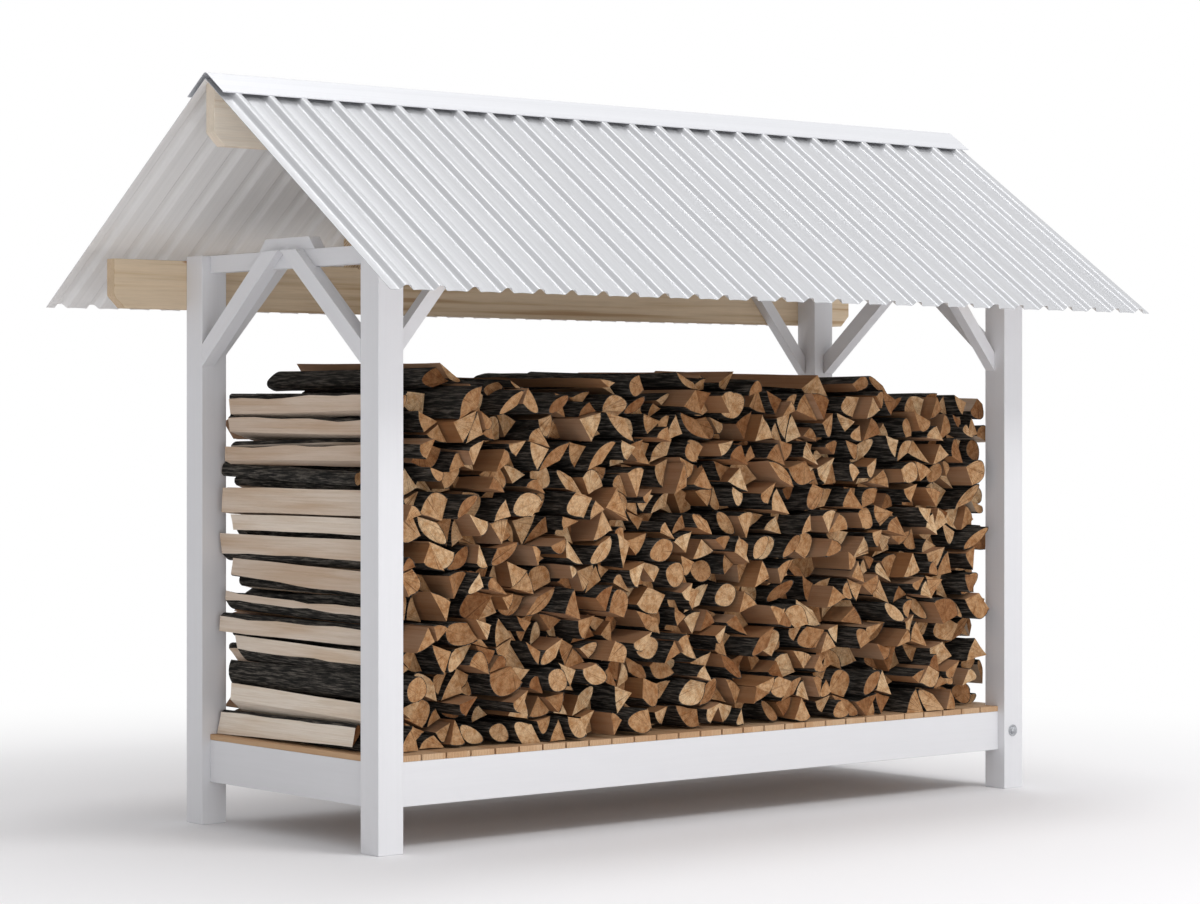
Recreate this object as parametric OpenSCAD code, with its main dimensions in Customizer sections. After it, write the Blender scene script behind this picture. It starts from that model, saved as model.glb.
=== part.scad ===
// Open-sided log store: a painted timber frame with a raised board floor,
// a gable roof of ribbed steel sheets, and split firewood stacked inside.
// The origin is on the ground under the middle of the roof. +X runs along
// the store, +Y to its back and +Z up. All sizes are in millimetres.

/* [Frame] */
// Length over the outer faces of the posts
frame_len = 3030; // [2500:5:3700]
// Depth over the outer faces of the posts
frame_dep = 1145; // [940:5:1400]
// Height of the posts
post_h = 1975; // [1850:5:2400]
// Side of the square posts
post_w = 100; // [90:5:120]

/* [Rails and floor] */
// Height of the bottom rails
rail_h = 146; // [120:2:176]
// Thickness of the bottom rails
rail_t = 45; // [36:1:54]
// Ground to the underside of the rails
rail_z = 147; // [100:1:200]
// Set-back of rails and tie beams behind the faces of the posts
rail_set = 33; // [5:1:36]
// Thickness of the floor boards
board_t = 20; // [15:1:28]
// Width of the floor boards
board_w = 95; // [75:5:145]
// Least gap between floor boards
board_gap = 4; // [2:1:10]
// Diameter of the washers of the rail bolts
washer_d = 44; // [30:1:52]
// Thickness of those washers
washer_t = 4; // [3:0.5:6]
// Width of the bolt heads over their round rim
bolt_head_d = 26; // [18:1:28]
// Height of the bolt heads
bolt_head_h = 9; // [6:1:12]

/* [Ties and braces] */
// Height of the tie beams across each end
tie_h = 60; // [50:2:90]
// Height of the tapered block on each tie beam
block_h = 42; // [30:2:60]
// Length of the block along its foot
block_w = 330; // [200:10:400]
// Length of the block along its top
block_top_w = 262; // [150:2:300]
// Thickness of the knee braces of the ends
end_brace_t = 50; // [40:2:60]
// Width of the knee braces of the ends
end_brace_w = 60; // [45:5:72]
// Heel of the end braces below the top of the posts
end_brace_drop = 385; // [300:5:470]
// Gap between the heads of two end braces
end_brace_gap = 10; // [4:1:30]
// Thickness of the knee braces along the store
long_brace_t = 45; // [36:1:50]
// Width of the knee braces along the store
long_brace_w = 45; // [36:1:60]
// Heel of the long braces below the top of the posts
long_brace_drop = 385; // [300:5:470]
// Slope of the long braces
long_brace_angle = 50; // [45:1:60]

/* [Roof timber] */
// Slope of the roof
pitch = 35; // [28:1:42]
// Thickness of plates, rafters and ridge beam
beam_t = 50; // [40:1:50]
// Height of the back plate
back_plate_h = 170; // [140:5:204]
// Top of the back plate below the top of the posts
back_plate_drop = 15; // [5:1:40]
// Height of the front plate
front_plate_h = 145; // [120:5:174]
// Depth of the rafters
rafter_h = 145; // [120:1:174]
// Rafters along each slope
rafter_count = 3; // [2:1:5]
// Depth of the rafter notch at the inner edge of a plate
seat_depth = 8; // [4:1:20]
// Rafter tails past the faces of the posts
tail_out = 90; // [60:5:140]
// Height of the ridge beam
ridge_h = 220; // [190:5:264]
// Ends of the ridge beam behind the verges
ridge_set = 20; // [0:5:60]
// Height of the cut at the ends of plates and ridge beam
end_cut_h = 34; // [20:2:60]
// Length of that cut
end_cut_len = 42; // [20:2:80]
// Nick above the cut on the back plate
end_nick = 8; // [4:1:14]

/* [Roof sheets] */
// Sheets past the posts at the left end
over_left = 290; // [200:5:400]
// Sheets past the posts at the right end
over_right = 190; // [150:5:400]
// Sheets past the posts at the eaves, measured level
over_eave = 465; // [380:5:560]
// Thickness of the sheets
sheet_t = 1.5; // [1:0.1:2]
// Height of the ribs
rib_h = 18; // [12:1:24]
// Width of a rib at its foot
rib_w = 58; // [46:1:70]
// Width of a rib at its top
rib_top = 20; // [12:1:30]
// Spacing of the ribs, about
rib_pitch = 130; // [110:1:150]
// Verge to the middle of the first rib
rib_edge = 60; // [40:1:65]
// Width of each wing of the ridge cap
cap_w = 132; // [100:1:160]
// Thickness of the ridge cap
cap_t = 2; // [1.5:0.1:3]

/* [Firewood] */
// Rows of logs
log_rows = 14; // [11:1:14]
// Height of a row
row_h = 85; // [72:0.5:87.5]
// Mean width of a log cell
log_w = 94; // [80:1:120]
// Front ends of the logs behind the faces of the front posts, least
log_set = 14; // [10:1:40]
// Share of a row's height by which every other corner of the net is lifted
net_lift = 0.19; // [0:0.01:0.24]
// Room in which a full log may lie further forward or back
log_spread = 230; // [60:5:260]
// The same for the logs that end between the posts
short_spread = 140; // [40:5:160]
// Share of the cells that are split in two
split_share = 0.66; // [0.3:0.01:0.8]
// Share of the top that carries loose logs
top_share = 0.46; // [0:0.02:0.6]
// Share of a row's height by which the loose logs rise or fall
top_rough = 0.28; // [0:0.02:0.3]
// Cells at the right end of the top that carry no loose logs
top_bare = 5; // [2:1:12]

/* [Hidden] */
$fn = 48;
slack = 0.3;

x0 = -(frame_len + over_right - over_left) / 2;
x1 = x0 + frame_len;
y0 = -frame_dep / 2;
y1 = frame_dep / 2;

rail_top = rail_z + rail_h;
floor_top = rail_top + board_t;
span = frame_len - 2 * post_w;
board_count = floor((span + board_gap) / (board_w + board_gap));
board_step = (span - board_w) / (board_count - 1);

verge_left = x0 - over_left;
verge_right = x1 + over_right;
back_plate_top = post_h - back_plate_drop;
back_plate_z = back_plate_top - back_plate_h;
rafter_rise = rafter_h / cos(pitch);
apex_z = back_plate_top - seat_depth + rafter_rise + y1 * tan(pitch);
function sheet_z(y) = apex_z - abs(y) * tan(pitch);
front_plate_top = sheet_z(y0 + beam_t) - rafter_rise + seat_depth;
front_plate_z = front_plate_top - front_plate_h;
slope_len = (y1 + over_eave) / cos(pitch);

sheet_len = verge_right - verge_left;
rib_count = round((sheet_len - 2 * rib_edge) / rib_pitch) + 1;
rib_step = (sheet_len - 2 * rib_edge) / (rib_count - 1);

stack_x0 = x0 + end_brace_t + 2;
stack_x1 = x1 - end_brace_t - 2;
log_cols = round((stack_x1 - stack_x0) / log_w);
cell_w = (stack_x1 - stack_x0) / log_cols;
log_fit = 0.992;

SIDES = ["left", "right"];
ENDS = ["front", "back"];

function log_row_name(r) = str("log_row_", r < 10 ? "0" : "", r);

// A box from its lowest corner to its highest corner.
module block(low, high) {
    translate(low) cube(high - low);
}

// An outline in Y and Z, drawn out along +X from x.
module along_x(x, len) {
    translate([x, 0, 0]) rotate([90, 0, 90]) linear_extrude(len) children();
}

// An outline in X and Z, drawn out along +Y from y.
module along_y(y, len) {
    translate([0, y + len, 0]) rotate([90, 0, 0]) linear_extrude(len) children();
}

// Its child, built at the left or front, and mirrored for the other side.
module at_side(side) {
    if (side == "left") children();
    else translate([x0 + x1, 0, 0]) mirror([1, 0, 0]) children();
}

module at_end(end) {
    if (end == "front") children();
    else mirror([0, 1, 0]) children();
}

// Square post, housed for the plate that it carries.
module post(end, side) {
    color("white") difference() {
        at_side(side) at_end(end) block([x0, y0, 0], [x0 + post_w, y0 + post_w, post_h]);
        if (end == "front") front_plate_housing();
    }
}

// The front plate stops half way into the posts and is open at the top.
module front_plate_housing() {
    block([x0 + post_w / 2, y0 - 1, front_plate_z], [x1 - post_w / 2, y0 + beam_t, post_h + 1]);
}

module rail_long(end) {
    color("white") at_end(end)
        block([x0 + post_w, y0 + rail_set, rail_z], [x1 - post_w, y0 + rail_set + rail_t, rail_top]);
}

module rail_short(side) {
    color("white") at_side(side)
        block([x0 + rail_set, y0 + post_w, rail_z], [x0 + rail_set + rail_t, y1 - post_w, rail_top]);
}

// Bolt with a washer, through a right-hand post into the end of its rail.
module rail_bolt() {
    rotate([90, 0, 0]) {
        cylinder(d = washer_d, h = washer_t);
        cylinder(d = bolt_head_d, h = washer_t + bolt_head_h);
    }
}

module rail_bolts() {
    x = x1 - rail_set - rail_t / 2;
    color("silver") for (e = ENDS) at_end(e) translate([x, y0, rail_z + rail_h / 2]) rail_bolt();
}

// Joist on edge under the middle of the boards, between the end rails.
module floor_bearer() {
    x = rail_set + rail_t;
    color("white") block([x0 + x, -rail_t / 2, rail_z], [x1 - x, rail_t / 2, rail_top]);
}

// Boards from front rail to back rail, and one short board on each end rail.
module floor_boards() {
    color("tan") {
        for (i = [0 : board_count - 1]) {
            x = x0 + post_w + i * board_step;
            block([x, y0 + rail_set, rail_top], [x + board_w, y1 - rail_set, floor_top]);
        }
        for (s = SIDES) at_side(s)
            block([x0 + rail_set, y0 + post_w, rail_top],
                  [x0 + post_w - board_gap, y1 - post_w, floor_top]);
    }
}

module tie_box() {
    block([x0 + rail_set, y0 + post_w, post_h - tie_h], [x0 + rail_set + rail_t, y1 - post_w, post_h]);
}

module tie_beam(side) {
    color("white") at_side(side) tie_box();
}

module tie_block(side) {
    color("white") at_side(side) along_x(x0 + rail_set, rail_t)
        polygon([[-block_w / 2, post_h], [block_w / 2, post_h],
                 [block_top_w / 2, post_h + block_h], [-block_top_w / 2, post_h + block_h]]);
}

// Outline of a knee brace: its heel is on a post at [0, 0], it rises to
// the height rise, and w is its width across the grain.
module brace_outline(w, rise, angle) {
    up = w / cos(angle);
    polygon([[0, 0], [rise / tan(angle), rise], [(rise - up) / tan(angle), rise], [0, up]]);
}

// End brace, flush with the post's outer face and halved over the tie beam.
module end_brace(end, side) {
    reach = frame_dep / 2 - post_w - end_brace_gap / 2;
    color("white") at_side(side) at_end(end) difference() {
        along_x(x0, end_brace_t) translate([y0 + post_w, post_h - end_brace_drop])
            brace_outline(end_brace_w, end_brace_drop, atan(end_brace_drop / reach));
        tie_box();
    }
}

// Long brace, lapped on the inner face of its plate.
module long_brace(end, side) {
    y = end == "front" ? y0 + beam_t : y1 - long_brace_t;
    color("white") at_side(side) along_y(y, long_brace_t)
        translate([x0 + post_w, post_h - long_brace_drop])
        brace_outline(long_brace_w, long_brace_drop - 2 * back_plate_drop, long_brace_angle);
}

// Outline of the end of a beam in X and Z, cut back at its lower corner.
module beam_outline(left, right, low, high, nick) {
    polygon([[left, high], [left, low + end_cut_h + nick], [left + nick, low + end_cut_h],
             [left + end_cut_len, low], [right - end_cut_len, low],
             [right - nick, low + end_cut_h], [right, low + end_cut_h + nick], [right, high]]);
}

module plate_front() {
    color("tan") block([x0 + post_w / 2, y0, front_plate_z], [x1 - post_w / 2, y0 + beam_t, front_plate_top]);
}

// Plate on the outer faces of the back posts, as long as the roof.
module plate_back() {
    color("tan") along_y(y1, beam_t)
        beam_outline(verge_left, verge_right, back_plate_z, back_plate_top, end_nick);
}

// Ridge beam, its top bevelled to the slopes.
module ridge_beam() {
    side_z = sheet_z(beam_t / 2);
    color("tan") intersection() {
        along_y(-beam_t / 2, beam_t)
            beam_outline(verge_left + ridge_set, verge_right - ridge_set,
                         apex_z - ridge_h, apex_z, end_nick);
        along_x(verge_left - 1, sheet_len + 2)
            polygon([[-beam_t, apex_z - ridge_h - 1], [beam_t, apex_z - ridge_h - 1],
                     [beam_t, sheet_z(beam_t)], [0, apex_z], [-beam_t, sheet_z(beam_t)]]);
    }
}

// Rafters from the ridge beam to tails past the posts, notched on a plate.
module rafters(end) {
    tail = y1 + tail_out;
    head = beam_t / 2;
    color("tan") difference() {
        for (i = [1:rafter_count])
            along_x(x0 + i * frame_len / (rafter_count + 1) - beam_t / 2, beam_t)
            scale([end == "front" ? -1 : 1, 1])
            polygon([[head, sheet_z(head)], [tail, sheet_z(tail)],
                     [tail, sheet_z(tail) - rafter_rise], [head, sheet_z(head) - rafter_rise]]);
        if (end == "front") plate_front();
        else plate_back();
    }
}

// Upper line of the ribbed sheet, across the ribs.
function rib_line() = concat(
    [[verge_left, 0]],
    [for (k = [0 : rib_count - 1])
     for (p = [[-rib_w / 2, 0], [-rib_w / 2 + 5, 2], [-rib_top / 2 - 4, rib_h - 3], [-rib_top / 2, rib_h],
               [rib_top / 2, rib_h], [rib_top / 2 + 4, rib_h - 3], [rib_w / 2 - 5, 2], [rib_w / 2, 0]])
         [verge_left + rib_edge + k * rib_step + p[0], p[1]]],
    [[verge_right, 0]]
);

module roof_sheet(end) {
    low = rib_line();
    count = len(low);
    high = [for (k = [count - 1 : -1 : 0]) low[k] + [0, sheet_t]];
    color("gainsboro") at_end(end) translate([0, 0, apex_z]) rotate([90 + pitch, 0, 0])
        linear_extrude(slope_len) polygon(concat(low, high));
}

// Folded cap on the tops of the ribs.
module ridge_cap() {
    low = apex_z + (rib_h + sheet_t) / cos(pitch);
    high = low + cap_t / cos(pitch);
    wing = [cap_w * cos(pitch), -cap_w * sin(pitch)];
    lift = cap_t * [sin(pitch), cos(pitch)];
    color("whitesmoke") along_x(verge_left, sheet_len)
        polygon([[0, low], [wing[0], low + wing[1]], [wing[0] + lift[0], low + wing[1] + lift[1]],
                 [0, high],
                 [-wing[0] - lift[0], low + wing[1] + lift[1]], [-wing[0], low + wing[1]]]);
}

// Firewood. The face of the stack is a net of leaning cells with uneven
// corners. A cell is one log, or two when it is split along its short side.
function uneven(i, j, k) = rands(-1, 1, 3, 211 * j + 3 * i + 5)[k];

function net_x(i, j) =
    i == 0 ? stack_x0 + 9 * (1 + uneven(i, j, 0)) :
    i == log_cols ? stack_x1 - 9 * (1 + uneven(i, j, 0)) :
    stack_x0 + cell_w * (i + (j % 2 == 0 ? 0.22 : -0.22) + 0.18 * uneven(i, j, 0));

function net_z(i, j) = floor_top + row_h * (
    j == 0 ? 0 :
    j + (i % 2 == 0 ? net_lift : -net_lift) +
    (j < log_rows ? 0.15 * uneven(i, j, 1) :
     j == log_rows ? 0.2 * uneven(i, j, 1) : -0.28 + top_rough * uneven(i, j, 1)));

function net(i, j) = [net_x(i, j), net_z(i, j)];

// A cell is full enough for one log when no corner of it is flat or hollow.
// The turn at a corner is twice the area of the triangle there.
function turn_at(p, q, r) = (q[0] - p[0]) * (r[1] - q[1]) - (q[1] - p[1]) * (r[0] - q[0]);

function is_full(a, b, c, d) =
    min(turn_at(a, b, c), turn_at(b, c, d), turn_at(c, d, a), turn_at(d, a, b)) > 0.25 * cell_w * row_h;

function is_split(i, j) = uneven(i, j, 2) < 2 * split_share - 1 ||
    !is_full(net(i, j), net(i + 1, j), net(i + 1, j + 1), net(i, j + 1));

function cell_logs(i, j) =
    let (a = net(i, j), b = net(i + 1, j), c = net(i + 1, j + 1), d = net(i, j + 1))
    !is_split(i, j) ? [[a, b, c, d]] :
    j % 2 == 0 ? [[a, b, c], [a, c, d]] : [[a, b, d], [b, c, d]];

function row_logs(j) = [for (i = [0 : log_cols - 1]) for (p = cell_logs(i, j)) p];

function top_log_cells() = [
    for (i = [2 : log_cols - 1 - top_bare]) if (uneven(i, log_rows, 2) > 1 - 2 * top_share) i
];

function middle(points) = [for (k = [0, 1]) sum([for (p = points) p[k]]) / len(points)];

function sum(list, k = 0) = k == len(list) ? 0 : list[k] + sum(list, k + 1);

// One log along Y. Logs in line with the posts end between them.
module firewood(outline, number) {
    centre = middle(outline);
    points = [for (p = outline) centre + log_fit * (p - centre)];
    left = min([for (p = points) p[0]]);
    right = max([for (p = points) p[0]]);
    is_short = left < x0 + post_w + slack || right > x1 - post_w - slack;
    ends = rands(0, 1, 2, number);
    least = is_short ? post_w + slack : log_set;
    free = (is_short ? short_spread : log_spread) * (0.6 + 0.4 * ends[0]);
    front = y0 + least + free * ends[1];
    back = y1 - least - free * (1 - ends[1]);
    along_y(front, back - front) polygon(points);
}

module log_row(r) {
    logs = row_logs(r - 1);
    color("burlywood") for (k = [0 : len(logs) - 1]) firewood(logs[k], 100 * r + k);
}

module top_logs() {
    logs = [for (i = top_log_cells()) for (p = cell_logs(i, log_rows)) p];
    color("burlywood") for (k = [0 : len(logs) - 1]) firewood(logs[k], 100 * (log_rows + 1) + k);
}

for (s = SIDES) for (e = ENDS) {
    post(e, s);
    end_brace(e, s);
    long_brace(e, s);
}
for (s = SIDES) {
    rail_short(s);
    tie_beam(s);
    tie_block(s);
}
for (e = ENDS) {
    rail_long(e);
    rafters(e);
    roof_sheet(e);
}
rail_bolts();
floor_bearer();
floor_boards();
plate_front();
plate_back();
ridge_beam();
ridge_cap();
for (r = [1:log_rows]) log_row(r);
top_logs();
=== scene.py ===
# Open-sided log store: a white painted timber frame on four posts with a board
# floor, a gable roof of ribbed steel sheets, and split firewood stacked inside.
# +X runs along the store, +Y to its back and +Z up, and all sizes are in metres.

import math
import random

import bpy
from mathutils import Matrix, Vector, noise


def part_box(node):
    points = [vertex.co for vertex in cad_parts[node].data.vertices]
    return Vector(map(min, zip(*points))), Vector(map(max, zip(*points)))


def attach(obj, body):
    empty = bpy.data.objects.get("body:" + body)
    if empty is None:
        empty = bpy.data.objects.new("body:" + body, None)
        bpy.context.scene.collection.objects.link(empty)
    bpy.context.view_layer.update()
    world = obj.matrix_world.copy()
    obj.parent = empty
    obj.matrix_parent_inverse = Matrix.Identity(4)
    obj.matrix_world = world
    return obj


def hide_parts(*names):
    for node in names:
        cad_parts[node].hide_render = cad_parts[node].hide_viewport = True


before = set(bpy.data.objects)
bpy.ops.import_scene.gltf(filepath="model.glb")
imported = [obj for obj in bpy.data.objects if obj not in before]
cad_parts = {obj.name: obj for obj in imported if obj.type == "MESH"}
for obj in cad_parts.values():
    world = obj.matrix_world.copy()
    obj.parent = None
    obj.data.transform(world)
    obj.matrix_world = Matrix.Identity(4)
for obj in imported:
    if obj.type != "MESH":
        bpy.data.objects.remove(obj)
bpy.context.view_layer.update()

# ---------------------------------------------------------------------------
# Posts
# Four square posts of planed softwood that stand straight on the ground. Their
# arrises are eased, and they are brushed white all round before assembly.
# ---------------------------------------------------------------------------

ARRIS = 0.0025
ARRIS_STEPS = 2
SHARP_FROM = math.radians(30)
SAME_POINT = 0.00005  # corners nearer than this are one corner
BRUSH_LENGTH = 0.34
BRUSH_WIDTH = 0.011


def srgb(red, green, blue):
    """A colour given from 0 to 255, as the linear colour that a shader takes."""
    parts = []
    for value in (red / 255, green / 255, blue / 255):
        parts.append(value / 12.92 if value <= 0.04045 else ((value + 0.055) / 1.055) ** 2.4)
    return (*parts, 1.0)


PAINT_THIN = srgb(221, 221, 224)
PAINT_FULL = srgb(224, 224, 227)


def set_inputs(tree, node, inputs):
    """Sets a node's inputs; each is a plain value or another node's output."""
    for name, value in inputs.items():
        if isinstance(value, bpy.types.NodeSocket):
            tree.links.new(value, node.inputs[name])
        else:
            node.inputs[name].default_value = value


def add(tree, kind, inputs, **settings):
    """Adds a shader node with its settings and inputs."""
    node = tree.nodes.new("ShaderNode" + kind)
    for name, value in settings.items():
        setattr(node, name, value)
    set_inputs(tree, node, inputs)
    return node


def ramp(tree, factor, *stops):
    """Turns a factor into a colour, by stops that are a position and a colour."""
    node = add(tree, "ValToRGB", {"Fac": factor})
    elements = node.color_ramp.elements
    while len(elements) < len(stops):
        elements.new(0.5)
    for element, (position, colour) in zip(elements, stops):
        element.position = position
    for element, (position, colour) in zip(elements, stops):
        element.color = colour
    return node.outputs["Color"]


def grey(value):
    """A grey that scales another colour, or a plain value, where a ramp needs a colour."""
    return (value, value, value, 1.0)


def new_finish(name):
    """A new material, its node tree and its shader."""
    finish = bpy.data.materials.new(name)
    finish.use_nodes = True
    return finish, finish.node_tree, finish.node_tree.nodes["Principled BSDF"]


def along_grain(tree, direction, length, width):
    """The place on a piece, turned to its grain and measured in grain marks."""
    turn = Vector((1, 0, 0)).rotation_difference(Vector(direction)).to_euler()
    place = add(tree, "TexCoord", {}).outputs["Object"]
    marks = {"Vector": place, "Rotation": turn, "Scale": (length, width, width)}
    return add(tree, "Mapping", marks, vector_type="TEXTURE").outputs["Vector"]


def mottle(tree, place, scale, detail=4.0, roughness=0.55, **settings):
    """Noise at a place, as a factor round one half."""
    inputs = {"Vector": place, "Scale": scale, "Detail": detail, "Roughness": roughness}
    return add(tree, "TexNoise", inputs, **settings).outputs["Fac"]


def bump(tree, height, depth, strength=1.0):
    """A surface that seems to rise and fall by a depth, as a height says."""
    inputs = {"Height": height, "Distance": depth, "Strength": strength}
    return add(tree, "Bump", inputs).outputs["Normal"]


def white_paint(name, direction):
    """White satin paint, brushed along the timber so that its grain just shows."""
    finish, tree, shader = new_finish(name)
    grain = along_grain(tree, direction, BRUSH_LENGTH, BRUSH_WIDTH)
    streaks = mottle(tree, grain, 1.0)
    patches = mottle(tree, grain, 0.12, detail=2.0)
    coat = add(tree, "Math", {0: streaks, 1: patches}, operation="ADD")
    half = add(tree, "Math", {0: coat.outputs["Value"], 1: 0.5}, operation="MULTIPLY")
    factor = half.outputs["Value"]
    set_inputs(tree, shader, {
        "Base Color": ramp(tree, factor, (0.36, PAINT_THIN), (0.62, PAINT_FULL)),
        "Roughness": ramp(tree, streaks, (0.3, grey(0.42)), (0.7, grey(0.56))),
        "Specular IOR Level": 0.4,
        "Normal": bump(tree, streaks, 0.0004, 0.15),
    })
    return finish


def ease_edges(piece, radius=ARRIS):
    """Rounds the arrises of a CAD timber, which comes in split at its edges."""
    weld = piece.modifiers.new("joined", "WELD")
    weld.merge_threshold = SAME_POINT
    bevel = piece.modifiers.new("eased", "BEVEL")
    bevel.width = radius
    bevel.segments = ARRIS_STEPS
    bevel.limit_method = "ANGLE"
    bevel.angle_limit = SHARP_FROM
    bevel.harden_normals = True


def dress(names, finish, radius=ARRIS):
    """Gives CAD timbers their finish and eases their arrises."""
    for name in names:
        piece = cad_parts[name]
        piece.material_slots[0].material = finish
        ease_edges(piece, radius)


SIDES = ("left", "right")
ENDS = ("front", "back")
upright_paint = white_paint("white paint on posts", (0, 0, 1))
dress([f"post_{end}_{side}" for end in ENDS for side in SIDES], upright_paint)

# ---------------------------------------------------------------------------
# Bottom rails
# Four planed boards on edge between the posts, set back a little behind their
# faces and painted white. They carry the floor boards on their top edges.
# ---------------------------------------------------------------------------

lengthwise_paint = white_paint("white paint on long timbers", (1, 0, 0))
crosswise_paint = white_paint("white paint on cross timbers", (0, 1, 0))
dress(["rail_front", "rail_back"], lengthwise_paint)
dress(["rail_left", "rail_right"], crosswise_paint)

# ---------------------------------------------------------------------------
# Rail bolts
# A zinc-plated coach bolt through each right-hand post into the end of its
# rail: a domed head on a round washer that is pulled up against the paint.
# ---------------------------------------------------------------------------

WASHER_RADIUS = 0.022
WASHER_THICK = 0.004
WASHER_EASE = 0.0008
HEAD_RADIUS = 0.013
HEAD_RIM = 0.003
HEAD_EASE = 0.0006
DOME_STEPS = 6
BOLT_SEGMENTS = 48
SHARP_RIM = 35

ZINC_DULL = srgb(148, 150, 154)
ZINC_CLEAN = srgb(196, 198, 202)


def plated_steel():
    """Zinc plating, with the cloudy marks that it comes out of the bath with."""
    finish, tree, shader = new_finish("zinc plated bolts")
    place = add(tree, "TexCoord", {}).outputs["Object"]
    clouds = mottle(tree, place, 160.0)
    set_inputs(tree, shader, {
        "Base Color": ramp(tree, clouds, (0.35, ZINC_DULL), (0.65, ZINC_CLEAN)),
        "Metallic": 0.9,
        "Roughness": ramp(tree, clouds, (0.3, grey(0.30)), (0.7, grey(0.48))),
        "Normal": bump(tree, clouds, 0.0002, 0.4),
    })
    return finish


def new_piece(name, points, faces, finishes, smooth_angle=None):
    """A new object with its materials; bends under the angle, in degrees, are smooth."""
    mesh = bpy.data.meshes.new(name)
    mesh.from_pydata(points, [], faces)
    for finish in finishes:
        mesh.materials.append(finish)
    if smooth_angle is not None:
        mesh.shade_smooth()
        mesh.set_sharp_from_angle(angle=math.radians(smooth_angle))
    piece = bpy.data.objects.new(name, mesh)
    bpy.context.scene.collection.objects.link(piece)
    return piece


def bolt_outline():
    """Radius and height of the washer and of the domed head on it."""
    rim = WASHER_THICK + HEAD_RIM
    dome = bolt_height - rim
    outline = [(0.0, 0.0), (WASHER_RADIUS - WASHER_EASE / 2, 0.0), (WASHER_RADIUS, WASHER_EASE / 2)]
    outline += [(WASHER_RADIUS, WASHER_THICK - WASHER_EASE), (WASHER_RADIUS - WASHER_EASE, WASHER_THICK)]
    outline += [(HEAD_RADIUS + HEAD_EASE, WASHER_THICK), (HEAD_RADIUS, WASHER_THICK + HEAD_EASE)]
    outline.append((HEAD_RADIUS, rim))
    for step in range(1, DOME_STEPS + 1):
        angle = math.pi / 2 * step / DOME_STEPS
        outline.append((HEAD_RADIUS * math.cos(angle), rim + dome * math.sin(angle)))
    return outline


bolt_low, bolt_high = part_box("rail_bolts")
bolt_x = (bolt_low.x + bolt_high.x) / 2
bolt_z = (bolt_low.z + bolt_high.z) / 2
post_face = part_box("post_front_right")[0].y
bolt_height = post_face - bolt_low.y
bolt_points = []
bolt_faces = []
for toward in (-1, 1):
    ring_starts = []
    for radius, height in bolt_outline():
        ring_starts.append(len(bolt_points))
        y = toward * (abs(post_face) + height)
        steps = BOLT_SEGMENTS if radius > 1e-6 else 1
        for step in range(steps):
            angle = math.tau * step / BOLT_SEGMENTS
            bolt_points.append((bolt_x + radius * math.cos(angle), y, bolt_z + radius * math.sin(angle)))
    for start, after in zip(ring_starts, ring_starts[1:]):
        for step in range(BOLT_SEGMENTS):
            near = (step + 1) % BOLT_SEGMENTS
            if start == ring_starts[0]:
                face = [start, after + near, after + step]
            elif after == ring_starts[-1]:
                face = [start + step, start + near, after]
            else:
                face = [start + step, start + near, after + near, after + step]
            bolt_faces.append(face if toward < 0 else face[::-1])
bolts = new_piece("coach_bolts", bolt_points, bolt_faces, [plated_steel()], SHARP_RIM)
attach(bolts, "root")
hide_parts("rail_bolts")

# ---------------------------------------------------------------------------
# Floor
# Planed softwood boards across the rails, left bare, with narrow gaps for the
# air. A painted joist on edge carries them along their middle.
# ---------------------------------------------------------------------------

BOARD_STEP = 0.0985
BOARD_ARRIS = 0.002
BOARD_LIGHT = srgb(213, 183, 149)
BOARD_MID = srgb(202, 169, 135)
BOARD_DARK = srgb(186, 149, 114)
BOARD_TINGE = srgb(238, 226, 214)
KNOT_HEART = srgb(132, 92, 60)
KNOT_EDGE = srgb(190, 150, 112)


def tint(tree, colour, other, amount=1.0, blend="MULTIPLY"):
    """One colour blended with another, by default as a stain over it."""
    node = add(tree, "Mix", {0: amount, 6: colour, 7: other}, data_type="RGBA", blend_type=blend)
    return node.outputs[2]


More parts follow.
